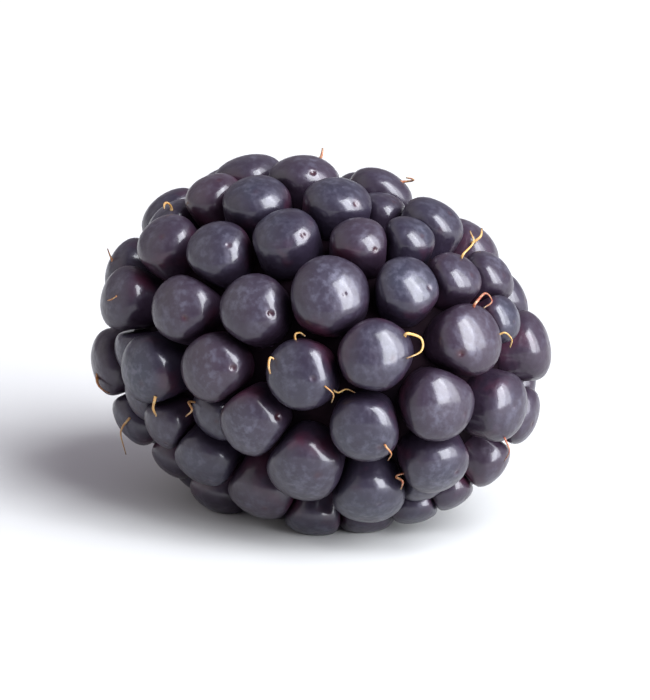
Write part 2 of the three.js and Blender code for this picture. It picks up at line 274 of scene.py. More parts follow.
# Each one seen on the near side: points across, up and off the skin, then its tone, from golden
# at 0 to dark red at 1.
SEEN_STYLES = [
    ([(5.2, 0.65, 0.1), (6.0, 0.35, 0.1), (6.0, -0.4, 0.1), (5.1, -0.85, 0.0)], 0.0),
    ([(-11.9, -4.6, 0.0), (-12.4, -5.4, 0.3), (-12.1, -6.8, 0.2)], 0.35),
    ([(0.3, -2.6, 0.0), (0.7, -3.0, 0.3), (0.6, -3.5, 0.2)], 0.4),
    ([(1.0, -2.9, 0.0), (1.5, -2.7, 0.3), (2.0, -2.9, 0.1)], 0.05),
    ([(9.3, 2.5, 0.0), (9.9, 3.1, 0.3), (10.3, 2.6, 0.2), (9.8, 2.2, 0.0)], 0.9),
    ([(8.6, 5.5, 0.0), (9.2, 6.2, 0.4), (9.0, 6.9, 0.3)], 0.05),
    ([(9.2, 6.2, 0.2), (9.7, 6.6, 0.5), (9.8, 7.1, 0.4)], 0.1),
    ([(3.9, -6.2, 0.0), (4.2, -6.6, 0.3), (4.0, -7.0, 0.1)], 0.6),
    ([(4.5, -8.0, 0.0), (4.9, -8.3, 0.3), (4.8, -8.8, 0.1)], 0.8),
    ([(11.2, -5.9, 0.0), (11.4, -6.5, 0.3), (11.1, -7.1, 0.1)], 0.9),
    ([(-8.1, -3.5, 0.0), (-7.9, -4.0, 0.3), (-8.3, -4.4, 0.1)], 0.5),
    ([(-10.2, -3.4, 0.0), (-10.3, -3.9, 0.3), (-10.1, -4.4, 0.1)], 0.2),
    ([(-3.1, -0.8, 0.0), (-3.2, -1.3, 0.2), (-3.1, -1.8, 0.1)], 0.25),
    ([(-1.6, 0.6, 0.0), (-1.3, 0.7, 0.3), (-1.0, 0.5, 0.0)], 0.2),
    ([(11.1, 0.7, 0.0), (11.5, 0.3, 0.3), (11.4, -0.2, 0.1)], 0.1),
]

# ---- The stage ------------------------------------------------------------------------------
FLOOR_HALF = 6000
PANE_RISE = math.radians(31)
NEAR_PANE_RIGHT = 45  # degrees round from the camera, as the next one is
FAR_PANE_RIGHT = 72
SENSOR_WIDTH = 36
IMAGE_WIDTH = 650
IMAGE_HEIGHT = 700
BERRY_PIXEL = (321.75, 344.5)  # where the seat's middle is in the image, from its top left corner
# The lengths from here on are in metres.
PANE_DISTANCE = 2.0
PANE_AIM_HEIGHT = 0.011
PANE_HEIGHT = 2.9
CAMERA_DISTANCE = 0.6
CLIP_START = 0.05
CLIP_END = 10
VIEW_WIDTH = 0.040  # at the berry

RIGHT = np.array([math.cos(NEAR_AZIMUTH), math.sin(NEAR_AZIMUTH), 0.0])
TOWARDS = np.array(
    [
        math.sin(NEAR_AZIMUTH) * math.cos(NEAR_ELEVATION),
        -math.cos(NEAR_AZIMUTH) * math.cos(NEAR_ELEVATION),
        math.sin(NEAR_ELEVATION),
    ]
)
UP = np.cross(TOWARDS, RIGHT)
SKEW = 0.3 * RIGHT + 0.2 * UP  # gives a drupelet a first spoke, even if its scar is at its top


# ---- Where the drupelets sit ----------------------------------------------------------------
def length(vectors):
    return np.linalg.norm(vectors, axis=-1)


def unit(vectors):
    return vectors / np.maximum(length(vectors), 1e-12)[..., None]


def seat_level(points):
    """1 on the egg that the drupelets' middles lie on, and less than 1 inside it."""
    along = points[..., 0] / SEAT_HALF_LENGTH
    out = np.hypot(points[..., 1], points[..., 2]) * (1 + SEAT_TAPER * along) / SEAT_RADIUS
    return np.abs(along) ** SEAT_BLUNTNESS + out**SEAT_BLUNTNESS


def onto_seat(points):
    for _ in range(SEAT_ROUNDS):
        points = points * (seat_level(points) ** (-1 / SEAT_BLUNTNESS))[..., None]
    return points


def outward_at(points):
    steps = SLOPE_STEP * np.identity(3)
    slopes = [seat_level(points + step) - seat_level(points - step) for step in steps]
    return unit(np.stack(slopes, axis=-1))


def near_place(across, up):
    """The seat's nearest point to the camera at a place, or its rim if the place is outside."""
    points = across * RIGHT + up * UP + SIGHT_DEPTHS[:, None] * TOWARDS
    levels = seat_level(points)
    inside = np.flatnonzero(levels < 1)
    return onto_seat(points[inside[0] if len(inside) else np.argmin(levels)])


def even_places(count):
    """Places that are spread evenly over the whole seat."""
    index = np.arange(count)
    along = 1 - 2 * (index + 0.5) / count
    turn = index * math.pi * (3 - math.sqrt(5))
    out = np.sqrt(1 - along * along)
    return onto_seat(np.stack([along, out * np.cos(turn), out * np.sin(turn)], axis=-1))


def wobble(index):
    """A number from 0 to 1 that looks random, as in the part."""
    value = math.sin(index * 12.9898 + 4.1) * 43758.5453
    return value - math.floor(value)


def first_places():
    """The listed drupelets and those that fill the rest: their places, widths and depths."""
    listed = [entry for row in NEAR_ROWS for entry in row]
    places = [near_place(entry[0], entry[1]) for entry in listed]
    widths = [entry[2] for entry in listed]
    sunk = [entry[3] if len(entry) > 3 else 0.0 for entry in listed]
    homes = np.array(places)
    for index, place in enumerate(even_places(FILL_PLACES)):
        out = math.hypot(place[1], place[2])
        at_scar = place[0] < 0 and out < SCAR_CLEARANCE - SCAR_LEEWAY
        covered = place @ TOWARDS > NEAR_LIMIT or length(homes - place).min() < FILL_CLEARANCE
        if not at_scar and not covered:
            places.append(place)
            widths.append(FILL_WIDTH * (1 + FILL_VARIATION * (2 * wobble(index) - 1)))
            sunk.append(FILL_DEPTH)
    return np.array(places), np.array(widths), sunk, homes


def packed(places, widths, homes):
    """The places once the drupelets that crowd each other have moved apart along the seat."""
    wanted = PACKING * (widths[:, None] + widths) / 2
    np.fill_diagonal(wanted, 0)
    for _ in range(PACKING_ROUNDS):
        away = places[:, None] - places
        apart = np.maximum(length(away), 1e-9)
        push = PACKING_GAIN * np.maximum(wanted - apart, 0) / apart
        moved = places + (away * push[..., None]).sum(axis=1)
        moved[: len(homes)] += ROW_HOLD * (homes - moved[: len(homes)])
        out = np.hypot(moved[:, 1], moved[:, 2])
        crowding = (moved[:, 0] < 0) & (out < SCAR_CLEARANCE)
        moved[crowding, 1:] *= (SCAR_CLEARANCE / out[crowding])[:, None]
        places = onto_seat(moved)
    return places


def with_squeezed(places, radii, sunk):
    """The same with small drupelets, squeezed in where the others leave a wide gap."""
    spots = even_places(GAP_PLACES)
    scar = np.array([-SEAT_HALF_LENGTH, 0, 0])
    while True:
        gaps = (length(spots[:, None] - places) - radii).min(axis=1)
        gaps = np.minimum(gaps, length(spots - scar) - SCAR_RADIUS)
        widest = np.argmax(gaps)
        if gaps[widest] < WIDEST_GAP:
            return places, radii, np.array(sunk)
        places = np.vstack([places, spots[widest]])
        radii = np.append(radii, gaps[widest] + SQUEEZE)
        sunk = [*sunk, SQUEEZED_DEPTH]


places, widths, sunk, homes = first_places()
seats, radii, sunk = with_squeezed(packed(places, widths, homes), widths / 2, sunk)
count = len(seats)
outward = outward_at(seats)
radii = radii * DRUPELET_SPREAD
caps = radii * DRUPELET_CAP
centres = seats - outward * sunk[:, None]

# The lowest drupelets come down onto the surface.
flatness = np.sqrt(1 - outward[:, 2] ** 2)
bottoms = centres[:, 2] - np.hypot(caps * outward[:, 2], radii * flatness)
surface = bottoms.min() + SAG
low = bottoms < surface + SETTLE_REACH
centres[low, 2] += surface - REST_FLAT - bottoms[low]

# ---- What sets one drupelet apart from the next ---------------------------------------------
rng = np.random.default_rng(SKIN_SEED)
tip_way = unit(np.array([1.0, 0, 0]) - outward * outward[:, :1])
side_way = np.cross(outward, tip_way)
lean = STYLE_LEAN + rng.normal(0, LEAN_SPREAD, count)
swing = rng.normal(0, SWING_SPREAD, count)
pit_depth = rng.uniform(*PIT_DEPTHS, count)
pit_stain = rng.uniform(*PIT_STAINS, count)
shade = rng.uniform(0, 1, count)
lean_way = tip_way * np.cos(swing)[:, None] + side_way * np.sin(swing)[:, None]
style_way = unit(outward * np.cos(lean)[:, None] + lean_way * np.sin(lean)[:, None])
axes = outward.copy()


def listed_at(place):
    """The listed drupelet that is seen nearest to a place across and up."""
    seen = np.stack([centres @ RIGHT, centres @ UP], axis=-1)[: len(homes)]
    return np.argmin(length(seen - np.array(place)))


for place, degrees_right, degrees_up in SEEN_LEANS:
    which = listed_at(place)
    tilt = math.tan(math.radians(degrees_right)) * RIGHT + math.tan(math.radians(degrees_up)) * UP
    axes[which] = unit(outward[which] + tilt)
for place, tone in SEEN_SHADES:
    shade[listed_at(place)] = tone
for place, scar_place in SEEN_SCARS:
    which = listed_at(place)
    offset = (np.array(scar_place) - np.array(place)) / radii[which]
    offset *= min(1, PIT_REACH / length(offset))
    towards = math.sqrt(1 - offset @ offset)
    style_way[which] = unit(offset[0] * RIGHT + offset[1] * UP + towards * TOWARDS)
    pit_depth[which] = rng.uniform(*SEEN_PIT_DEPTHS)
    pit_stain[which] = 1.0
tint = np.clip(rng.normal(RED_TINT, RED_TINT_SPREAD, count), 0, MOST_RED)


# ---- The drupelets' shape -------------------------------------------------------------------
def smooth_step(start, end, values):
    part = np.clip((values - start) / (end - start), 0, 1)
    return part * part * (3 - 2 * part)


def smooth_dents(ways, seed):
    """A few broad, shallow swellings and hollows round a drupelet, as a number about 0."""
    local = np.random.default_rng(seed)
    total = np.zeros(ways.shape[:-1])
    for frequency, size in DENTS:
        axis = local.normal(size=3)
        axis *= frequency / np.linalg.norm(axis)
        total += size * np.sin(ways @ axis * DENT_SPACING + local.uniform(0, FULL_TURN))
    return total


def free_reach(which, ways):
    """How far the skin would be from the drupelet's middle if nothing pressed on it."""
    rise = ways @ axes[which]
    spread = np.sqrt(np.maximum(1 - rise**2, 0)) / radii[which]
    above = np.hypot(rise / caps[which], spread)
    below = ((rise / ROOT_DEPTH) ** ROOT_FULLNESS + spread**ROOT_FULLNESS) ** (1 / ROOT_FULLNESS)
    return 1 / np.where(rise > 0, above, below)


def pressed_reach(which, ways):
    """How far the skin is from the drupelet's middle, with its neighbours pressing on it."""
    squeeze = free_reach(which, ways) ** -PRESS_SHARPNESS
    for other in range(count):
        gap = centres[other] - centres[which]
        apart = length(gap)
        if other != which and apart < PRESS_REACH * (radii[which] + radii[other]):
            way = gap / apart
            mine = free_reach(which, way[None, :])[0]
            theirs = free_reach(other, -way[None, :])[0]
            if mine + theirs > PRESS_START * apart:
                flat = max((apart**2 + mine**2 - theirs**2) / (2 * apart), LEAST_FLAT)
                squeeze += (np.maximum(ways @ way, 0) / flat) ** PRESS_SHARPNESS
    return squeeze ** (-1 / PRESS_SHARPNESS)


def rings_of_faces(rings, sides):
    """The faces of a closed skin: a first point, rings of points round it, and a last point."""
    last = 1 + rings * sides
    faces = []
    for side in range(sides):
        following = (side + 1) % sides
        faces.append((0, 1 + side, 1 + following))
        for ring in range(rings - 1):
            inner = 1 + ring * sides
            outer = inner + sides
            faces.append((inner + side, outer + side, outer + following, inner + following))
        inner = 1 + (rings - 1) * sides
        faces.append((inner + side, last, inner + following))
    return faces


def drupelet_points(which):
    """One drupelet's points, each one's angle from the style's scar, and its rise on the cap."""
    pole = style_way[which]
    first = unit(np.cross(pole, outward[which] + SKEW))
    second = np.cross(pole, first)
    turn = np.arange(SPOKES) * 2 * math.pi / SPOKES
    ring = RINGS[1:-1]
    round_pole = np.cos(turn)[:, None] * first + np.sin(turn)[:, None] * second
    ways = np.cos(ring)[:, None, None] * pole + np.sin(ring)[:, None, None] * round_pole
    ways = np.vstack([pole, ways.reshape(-1, 3), -pole])
    angle = np.concatenate([[0], np.repeat(ring, SPOKES), [math.pi]])
    reach = pressed_reach(which, ways)
    reach *= 1 + DENT_SIZE * smooth_dents(ways, which)
    reach -= pit_depth[which] * np.exp(-((angle / PIT_ANGLE) ** 2))
    points = centres[which] + reach[:, None] * ways
    points[:, 2] = np.maximum(points[:, 2], surface)
    return points, angle, ways @ axes[which]


def joined(meshes):
    """Several meshes' points and faces, as one mesh."""
    points = []
    faces = []
    start = 0
    for mesh_points, mesh_faces in meshes:
        points.append(mesh_points)
        faces.extend(tuple(corner + start for corner in face) for face in mesh_faces)
        start += len(mesh_points)
    return np.vstack(points), faces


def new_object(name, points, faces, material):
    """A smooth object, from points in millimetres."""
    mesh = bpy.data.meshes.new(name)
    mesh.from_pydata((np.asarray(points) / MM_PER_M).tolist(), [], faces)
    mesh.validate()
    mesh.update()
    mesh.shade_smooth()
    mesh.materials.append(material)
    piece = bpy.data.objects.new(name, mesh)
    bpy.context.scene.collection.objects.link(piece)
    return piece


def point_values(piece, name, values):
    layer = piece.data.attributes.new(name, "FLOAT", "POINT")
    layer.data.foreach_set("value", np.asarray(values, dtype=np.float32))


# ---- Materials ------------------------------------------------------------------------------
# Sizes in the nodes are in metres, and a noise's scale is about how many of its lumps go into one.
NOISE_ROUGHNESS = 0.55

MAUVE_SKIN = (0.0185, 0.0100, 0.0190)
BLUE_SKIN = (0.0140, 0.0105, 0.0200)
MAUVE_BLOOM = (0.033, 0.024, 0.036)
BLUE_BLOOM = (0.019, 0.022, 0.036)
BLOOM_MOTTLE = (0.080, 0.078, 0.108)
RED_SKIN = (0.075, 0.010, 0.022)
BLUSH = (0.070, 0.010, 0.024)
PIT_COLOUR = (0.030, 0.006, 0.009)
SKIN_SHEEN = (0.86, 0.82, 1.0)

# Near-black flesh, painted as the shade at the bottom of the crevices.
FLESH_IN_PAINTED_SHADE = (0.0035, 0.0018, 0.0035)
PALER_FLESH_IN_PAINTED_SHADE = (0.006, 0.0024, 0.0045)

DARK_SCAR = (0.105, 0.075, 0.022)
LIGHT_SCAR = (0.205, 0.165, 0.062)
SCAR_FIBRE = (0.30, 0.26, 0.13)
SCAR_HOLLOW = (0.040, 0.020, 0.008)
JUICE = (0.050, 0.006, 0.012)

GOLDEN_STYLE = (0.50, 0.29, 0.085)
RED_STYLE = (0.20, 0.022, 0.018)
STYLE_END = (0.075, 0.030, 0.014)
STYLE_FLECK = (0.42, 0.33, 0.18)

FLOOR_COLOUR = (0.52, 0.52, 0.515)
ROOM_MIDDLE = (0.30, 0.27, 0.36)
ROOM_LEFT = (0.95, 0.92, 0.93)
ROOM_RIGHT = (0.80, 0.80, 0.89)
ROOM_BACK = (0.34, 0.31, 0.36)
NEAR_LIGHT = (0.93, 0.965, 1.0)
FAR_LIGHT = (0.93, 0.96, 1.0)


class Nodes:
    """The nodes of one material or of the surroundings."""

    def __init__(self, tree):
        self.tree = tree

    def add(self, kind):
        return self.tree.nodes.new(kind)

    def link(self, output, target):
        self.tree.links.new(output, target)

    def value_of(self, name):
        node = self.add("ShaderNodeAttribute")
        node.attribute_name = name
        return node.outputs["Fac"]

    def noise(self, scale, detail, upright=1.0):
        """Cloudy noise, drawn out along the upright where that share is under one."""
        place = self.add("ShaderNodeTexCoord")
        stretch = self.add("ShaderNodeVectorMath")
        stretch.operation = "MULTIPLY"
        stretch.inputs[1].default_value = (1, 1, upright)
        self.link(place.outputs["Object"], stretch.inputs[0])
        node = self.add("ShaderNodeTexNoise")
        node.inputs["Scale"].default_value = scale
        node.inputs["Detail"].default_value = detail
        node.inputs["Roughness"].default_value = NOISE_ROUGHNESS
        self.link(stretch.outputs["Vector"], node.inputs["Vector"])
        return node.outputs["Fac"]

    def remap(self, source, low, high, to_low=0.0, to_high=1.0):
        node = self.add("ShaderNodeMapRange")
        limits = {"From Min": low, "From Max": high, "To Min": to_low, "To Max": to_high}
        for name, value in limits.items():
            node.inputs[name].default_value = value
        self.link(source, node.inputs["Value"])
        return node.outputs["Result"]

    def patches(self, scale, detail, low, high, to_low=0.0, to_high=1.0, upright=1.0):
        """Noise whose values from low to high are spread over to_low to to_high."""
        return self.remap(self.noise(scale, detail, upright), low, high, to_low, to_high)

    def mix(self, factor, first, second):
        """A mix of two colours, each of which is a colour or another node's output."""
        node = self.add("ShaderNodeMix")
        node.data_type = "RGBA"
        self.link(factor, node.inputs["Factor"])
        for socket, colour in (("A", first), ("B", second)):
            target = [i for i in node.inputs if i.name == socket and i.type == "RGBA"][0]
            if isinstance(colour, tuple):
                target.default_value = (*colour, 1)
            else:
                self.link(colour, target)
        return [o for o in node.outputs if o.type == "RGBA"][0]

    def times(self, first, second):
        node = self.add("ShaderNodeMath")
        node.operation = "MULTIPLY"
        self.link(first, node.inputs[0])
        self.link(second, node.inputs[1])
        return node.outputs[0]

    def bump(self, height, strength, distance, under=None):
        node = self.add("ShaderNodeBump")
        if under is not None:
            self.link(under, node.inputs["Normal"])
        node.inputs["Strength"].default_value = strength
        node.inputs["Distance"].default_value = distance
        self.link(height, node.inputs["Height"])
        return node.outputs["Normal"]


def new_material(name):
    """A new material, its nodes and its shader's inputs."""
    material = bpy.data.materials.new(name)
    material.use_nodes = True
    tree = material.node_tree
    return material, Nodes(tree), tree.nodes["Principled BSDF"].inputs


def skin_material():
    """Taut dark skin under a patchy grey bloom, thinned low down by rubbing and painted shade."""
    material, nodes, shader = new_material("drupelet_skin")
    shade = nodes.value_of("drupelet_shade")
    bare = nodes.mix(shade, MAUVE_SKIN, BLUE_SKIN)
    waxy = nodes.mix(shade, MAUVE_BLOOM, BLUE_BLOOM)
    patches = nodes.patches(scale=520, detail=4, low=0.33, high=0.67, to_low=0.12, upright=0.45)
    # The bloom thins low on each drupelet, partly rubbed off and partly painted shade.
    bloom_and_shade = nodes.times(patches, nodes.value_of("bloom_and_painted_shade"))
    colour = nodes.mix(bloom_and_shade, bare, waxy)
    mottle = nodes.patches(scale=2100, detail=3, low=0.45, high=0.68, to_high=0.75)
    colour = nodes.mix(nodes.times(mottle, bloom_and_shade), colour, BLOOM_MOTTLE)
    colour = nodes.mix(nodes.value_of("red_tint"), colour, RED_SKIN)
    blush = nodes.patches(scale=330, detail=3, low=0.54, high=0.68, to_high=0.4)
    colour = nodes.mix(nodes.times(blush, nodes.value_of("thin_bloom")), colour, BLUSH)
    colour = nodes.mix(nodes.value_of("style_scar"), colour, PIT_COLOUR)
    nodes.link(colour, shader["Base Color"])
    rough = nodes.patches(scale=420, detail=3, low=0.3, high=0.7, to_low=0.32, to_high=0.48)
    nodes.link(rough, shader["Roughness"])
    shader["Specular IOR Level"].default_value = 0.32
    shader["Specular Tint"].default_value = (*SKIN_SHEEN, 1)
    shader["Coat Weight"].default_value = 0.34
    shader["Coat IOR"].default_value = 1.8
    shader["Coat Roughness"].default_value = 0.15
    swell = nodes.bump(nodes.noise(scale=800, detail=2), strength=0.7, distance=0.0002)
    fine = nodes.noise(scale=3400, detail=3)
    grain = nodes.bump(fine, strength=0.3, distance=0.00006, under=swell)
    nodes.link(grain, shader["Normal"])
    return material


def flesh_material():
    """The flesh at the bottom of the crevices, painted near black as their shade."""
    material, nodes, shader = new_material("receptacle_flesh")
    patches = nodes.patches(scale=500, detail=4, low=0.35, high=0.65)
    colour = nodes.mix(patches, FLESH_IN_PAINTED_SHADE, PALER_FLESH_IN_PAINTED_SHADE)
    nodes.link(colour, shader["Base Color"])
    rough = nodes.patches(scale=900, detail=2, low=0.3, high=0.7, to_low=0.6, to_high=0.8)
    nodes.link(rough, shader["Roughness"])
    shader["Specular IOR Level"].default_value = 0.03
    return material


def scar_material():
    """Fibrous olive-yellow flesh, darker in the dimple and stained by juice at the edge."""
    material, nodes, shader = new_material("receptacle_scar")
    patches = nodes.patches(scale=900, detail=4, low=0.35, high=0.65)
    colour = nodes.mix(patches, DARK_SCAR, LIGHT_SCAR)
    fibres = nodes.patches(scale=3800, detail=3, low=0.42, high=0.62)
    colour = nodes.mix(fibres, colour, SCAR_FIBRE)
    colour = nodes.mix(nodes.value_of("scar_hollow"), colour, SCAR_HOLLOW)
    colour = nodes.mix(nodes.value_of("juice_stain"), colour, JUICE)
    nodes.link(colour, shader["Base Color"])
    rough = nodes.patches(scale=1500, detail=2, low=0.3, high=0.7, to_low=0.45, to_high=0.75)
    nodes.link(rough, shader["Roughness"])
    shader["Specular IOR Level"].default_value = 0.4
    shader["Subsurface Weight"].default_value = 0.15
    shader["Subsurface Radius"].default_value = (0.0006, 0.0004, 0.0002)
    grain = nodes.bump(nodes.noise(scale=4200, detail=4), strength=0.5, distance=0.00012)
    nodes.link(grain, shader["Normal"])
    return material


def style_material():
    """Dry hair, golden to dark red, with a brown end."""
    material, nodes, shader = new_material("dried_style")
    colour = nodes.mix(nodes.value_of("style_tone"), GOLDEN_STYLE, RED_STYLE)
    colour = nodes.mix(nodes.value_of("style_end"), colour, STYLE_END)
    fleck = nodes.patches(scale=5200, detail=3, low=0.45, high=0.65, to_high=0.6)
    colour = nodes.mix(fleck, colour, STYLE_FLECK)
    nodes.link(colour, shader["Base Color"])
    rough = nodes.patches(scale=2500, detail=2, low=0.3, high=0.7, to_low=0.35, to_high=0.6)
    nodes.link(rough, shader["Roughness"])
    shader["Subsurface Weight"].default_value = 0.3
    shader["Subsurface Radius"].default_value = (0.0005, 0.0003, 0.0001)
    grain = nodes.bump(nodes.noise(scale=7000, detail=2), strength=0.4, distance=0.00003)
    nodes.link(grain, shader["Normal"])
    return material


def floor_material():
    material, _, shader = new_material("pale_floor")
    shader["Base Color"].default_value = (*FLOOR_COLOUR, 1)
    shader["Roughness"].default_value = 0.75
    return material


# ---- The drupelets --------------------------------------------------------------------------
shapes = [drupelet_points(which) for which in range(count)]
drupelet_faces = rings_of_faces(len(RINGS) - 2, SPOKES)
skin_points, skin_faces = joined([(points, drupelet_faces) for points, _, _ in shapes])
angles = np.concatenate([angle for _, angle, _ in shapes])
rises = np.concatenate([rise for _, _, rise in shapes])
owners = np.repeat(np.arange(count), len(skin_points) // count)

# This puts the origin on the resting surface, under the middle of the berry.
shift = -(skin_points.min(axis=0) + skin_points.max(axis=0)) / 2
shift[2] = -surface

drupelets = new_object("drupelets", skin_points + shift, skin_faces, skin_material())
redness = RED_NEAR_SCAR + (1 - RED_NEAR_SCAR) * (angles > RED_ANGLE)
stain = np.exp(-((angles / STAIN_ANGLE) ** 2))
point_values(drupelets, "drupelet_shade", shade[owners])
# The bloom's cover, thinning towards the root; low down it also paints shade.
point_values(drupelets, "bloom_and_painted_shade", smooth_step(*BLOOM_AND_SHADE_RISES, rises))
point_values(drupelets, "thin_bloom", smooth_step(*THIN_BLOOM_RISES, rises))
point_values(drupelets, "red_tint", tint[owners] * redness)
point_values(drupelets, "style_scar", pit_stain[owners] * stain)
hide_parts("berry")
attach(drupelets, "root")


# ---- The flesh under them -------------------------------------------------------------------
def turned_over(faces):
    return [(face[0], *reversed(face[1:])) for face in faces]


def core_mesh():
    """The flesh under the drupelets, as rings round the long axis."""
    points = [(-1.0, 0.0, 0.0)]
    for ring in range(1, CORE_RINGS):
        angle = math.pi * ring / CORE_RINGS
        out = math.sin(angle)
        for side in range(CORE_SIDES):
            turn = 2 * math.pi * side / CORE_SIDES
            points.append((-math.cos(angle), out * math.cos(turn), out * math.sin(turn)))
    points.append((1.0, 0.0, 0.0))
    points = onto_seat(np.array(points))
    points = points - outward_at(points) * CORE_DEPTH
    points[:, 0] = np.maximum(points[:, 0], FACE_X + CORE_CUT)
    return points, turned_over(rings_of_faces(CORE_RINGS - 1, CORE_SIDES))


core_points, core_faces = core_mesh()
core = new_object("receptacle_core", core_points + shift, core_faces, flesh_material())
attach(core, "root")


# ---- The torn end ---------------------------------------------------------------------------
# A fibrous face, recessed among the drupelets round it, with the dimple of the pith in its
# middle and the stubs of torn strands round that.
def mound(out, turn, ring, at, width):
    """A rounded mound on the face, from 1 at its top, which is at one radius and angle."""
    across = out * np.cos(turn) - ring * math.cos(at)
    up = out * np.sin(turn) - ring * math.sin(at)
    return np.exp(-((np.hypot(across, up) / width) ** 2))


def scar_height(out, turn):
    """How far the torn face stands out, towards the stalk end, from its plane."""
    local = np.random.default_rng(SCAR_SEED)
    dimple = DIMPLE_RADIUS + DIMPLE_UNEVENNESS * np.sin(DIMPLE_LOBES * turn + 1)
    height = FACE_SWELL * (1 - (out / SCAR_RADIUS) ** 2)
    height -= (SCAR_DIMPLE + FACE_SWELL) * np.exp(-((out / dimple) ** 2))
    for fibres, size in FIBRES:
        phase = local.uniform(0, FULL_TURN)
        waves = np.sin(fibres * turn + phase + FIBRE_WANDER * np.sin(out * FIBRE_WAVES))
        height += size * waves * np.clip(out, 0, 1)
    for strand in range(STRAND_COUNT):
        moved = local.uniform(-STRAND_SHIFT, STRAND_SHIFT)
        at = 2 * math.pi * (strand + moved) / STRAND_COUNT
        ring = STRAND_RING + local.uniform(-STRAND_SHIFT, STRAND_SHIFT)
        tall = local.uniform(*STRAND_HEIGHTS)
        height += tall * mound(out, turn, ring, at, local.uniform(*STRAND_WIDTHS))
    for _ in range(CRUMB_COUNT):
        at = local.uniform(0, FULL_TURN)
        ring = local.uniform(*CRUMB_RINGS)
        tall = local.uniform(*CRUMB_HEIGHTS)
        height += tall * mound(out, turn, ring, at, local.uniform(*CRUMB_WIDTHS))
    return height


def scar_mesh():
    """The face's points and faces, and how far each point stands out and is from the middle."""
    outs = FACE_EDGE * np.linspace(0, 1, FACE_RINGS + 1)[1:]
    turns = np.arange(FACE_SIDES) * 2 * math.pi / FACE_SIDES
    out, turn = np.meshgrid(outs, turns, indexing="ij")
    height = scar_height(out, turn)
    front = np.stack([FACE_X - height, out * np.cos(turn), out * np.sin(turn)], axis=-1)
    middle = scar_height(0.0, 0.0)
    points = np.vstack([[FACE_X - middle, 0, 0], front.reshape(-1, 3), [FACE_X + FACE_BACK, 0, 0]])
    heights = np.concatenate([[middle], height.ravel(), [-FACE_BACK]])
    outs = np.concatenate([[0], out.ravel(), [FACE_EDGE]])
    return points, turned_over(rings_of_faces(FACE_RINGS, FACE_SIDES)), heights, outs


scar_points, scar_faces, scar_heights, scar_outs = scar_mesh()
scar_piece = new_object("receptacle_scar", scar_points + shift, scar_faces, scar_material())
ragged = np.sin(scar_points[:, 1:] * STAIN_WAVES).prod(axis=1)
stained = smooth_step(*STAIN_RINGS, scar_outs + STAIN_RAGGEDNESS * ragged)
point_values(scar_piece, "scar_hollow", smooth_step(*HOLLOW_HEIGHTS, scar_heights))
point_values(scar_piece, "juice_stain", stained)
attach(scar_piece, "root")

# ---- The dried styles -----------------------------------------------------------------------
# Thin withered hairs. Those in the photo rise from the skin beside them, and the others from the
# scar where they grew.
skin_tree = BVHTree.FromPolygons([Vector(point) for point in skin_points], skin_faces)


def smooth_path(corners):
    """A smooth curve through a few points, as evenly spread shares of it."""
    padded = np.vstack([2 * corners[0] - corners[1], corners, 2 * corners[-1] - corners[-2]])
    path = []
    for share in np.linspace(0, len(corners) - 1, STYLE_STEPS):
        piece = min(int(share), len(corners) - 2)
        part = share - piece
        a, b, c, d = padded[piece : piece + 4]
        square = (2 * a - 5 * b + 4 * c - d) * part**2
        cube = (3 * b - a - 3 * c + d) * part**3
        path.append(0.5 * (2 * b + (c - a) * part + square + cube))
    return np.array(path)


def hair_mesh(path, thickness):
    """A tapering closed tube along a path, a little swollen at its foot."""
    along = unit(np.gradient(path, axis=0))
    shares = np.linspace(0, 1, len(path))
    swell = FOOT_SWELL * np.exp(-((shares / FOOT_SHARE) ** 2))
    radius = thickness * (1 - TAPER * shares + swell)
    side = unit(np.cross(along[0], ANY_WAY))
    points = []
    for place, way, reach in zip(path, along, radius):
        side = unit(side - (side @ way) * way)
        other = np.cross(way, side)
        for corner in range(STYLE_SIDES):
            turn = 2 * math.pi * corner / STYLE_SIDES
            flat = 1 - FLATNESS + FLATNESS * math.cos(2 * turn)
            points.append(place + reach * flat * (math.cos(turn) * side + math.sin(turn) * other))
    faces = [tuple(reversed(range(STYLE_SIDES)))]
    for step in range(len(path) - 1):
        inner = step * STYLE_SIDES
        outer = inner + STYLE_SIDES
        for corner in range(STYLE_SIDES):
            following = (corner + 1) % STYLE_SIDES
            faces.append((inner + corner, inner + following, outer + following, outer + corner))
    faces.append(tuple(range(outer, outer + STYLE_SIDES)))
    return np.array(points), faces


def skin_depth(across, up):
    """How near the camera the skin comes on one line of sight."""
    start = across * RIGHT + up * UP + SIGHT_START * TOWARDS
    hit = skin_tree.ray_cast(Vector(start), Vector(-TOWARDS))[0]
    return -math.inf if hit is None else np.array(hit) @ TOWARDS


def seen_style_path(corners):
    """The path of a style that is given across, up and off the skin, from the near side.

    It rises from the skin nearest to its first point, and then lies across the skin and the
    crevices.
    """
    places = np.array(corners)
    depths = []
    for across, up, off in corners:
        felt = [skin_depth(across + beside, up + above) for beside, above in STYLE_FOOTING]
        depths.append(max(felt) + off)
    apart = length(places[:, None, :2] - places[:, :2])
    depths = (np.array(depths) - STYLE_SLOPE * apart).max(axis=1)
    path = places[:, :1] * RIGHT + places[:, 1:2] * UP + depths[:, None] * TOWARDS
    nearest = np.array(skin_tree.find_nearest(Vector(path[0]))[0])
    root = nearest + STYLE_SINK * unit(nearest - path[0] - NUDGE * TOWARDS)
    return smooth_path(np.vstack([root, path]))


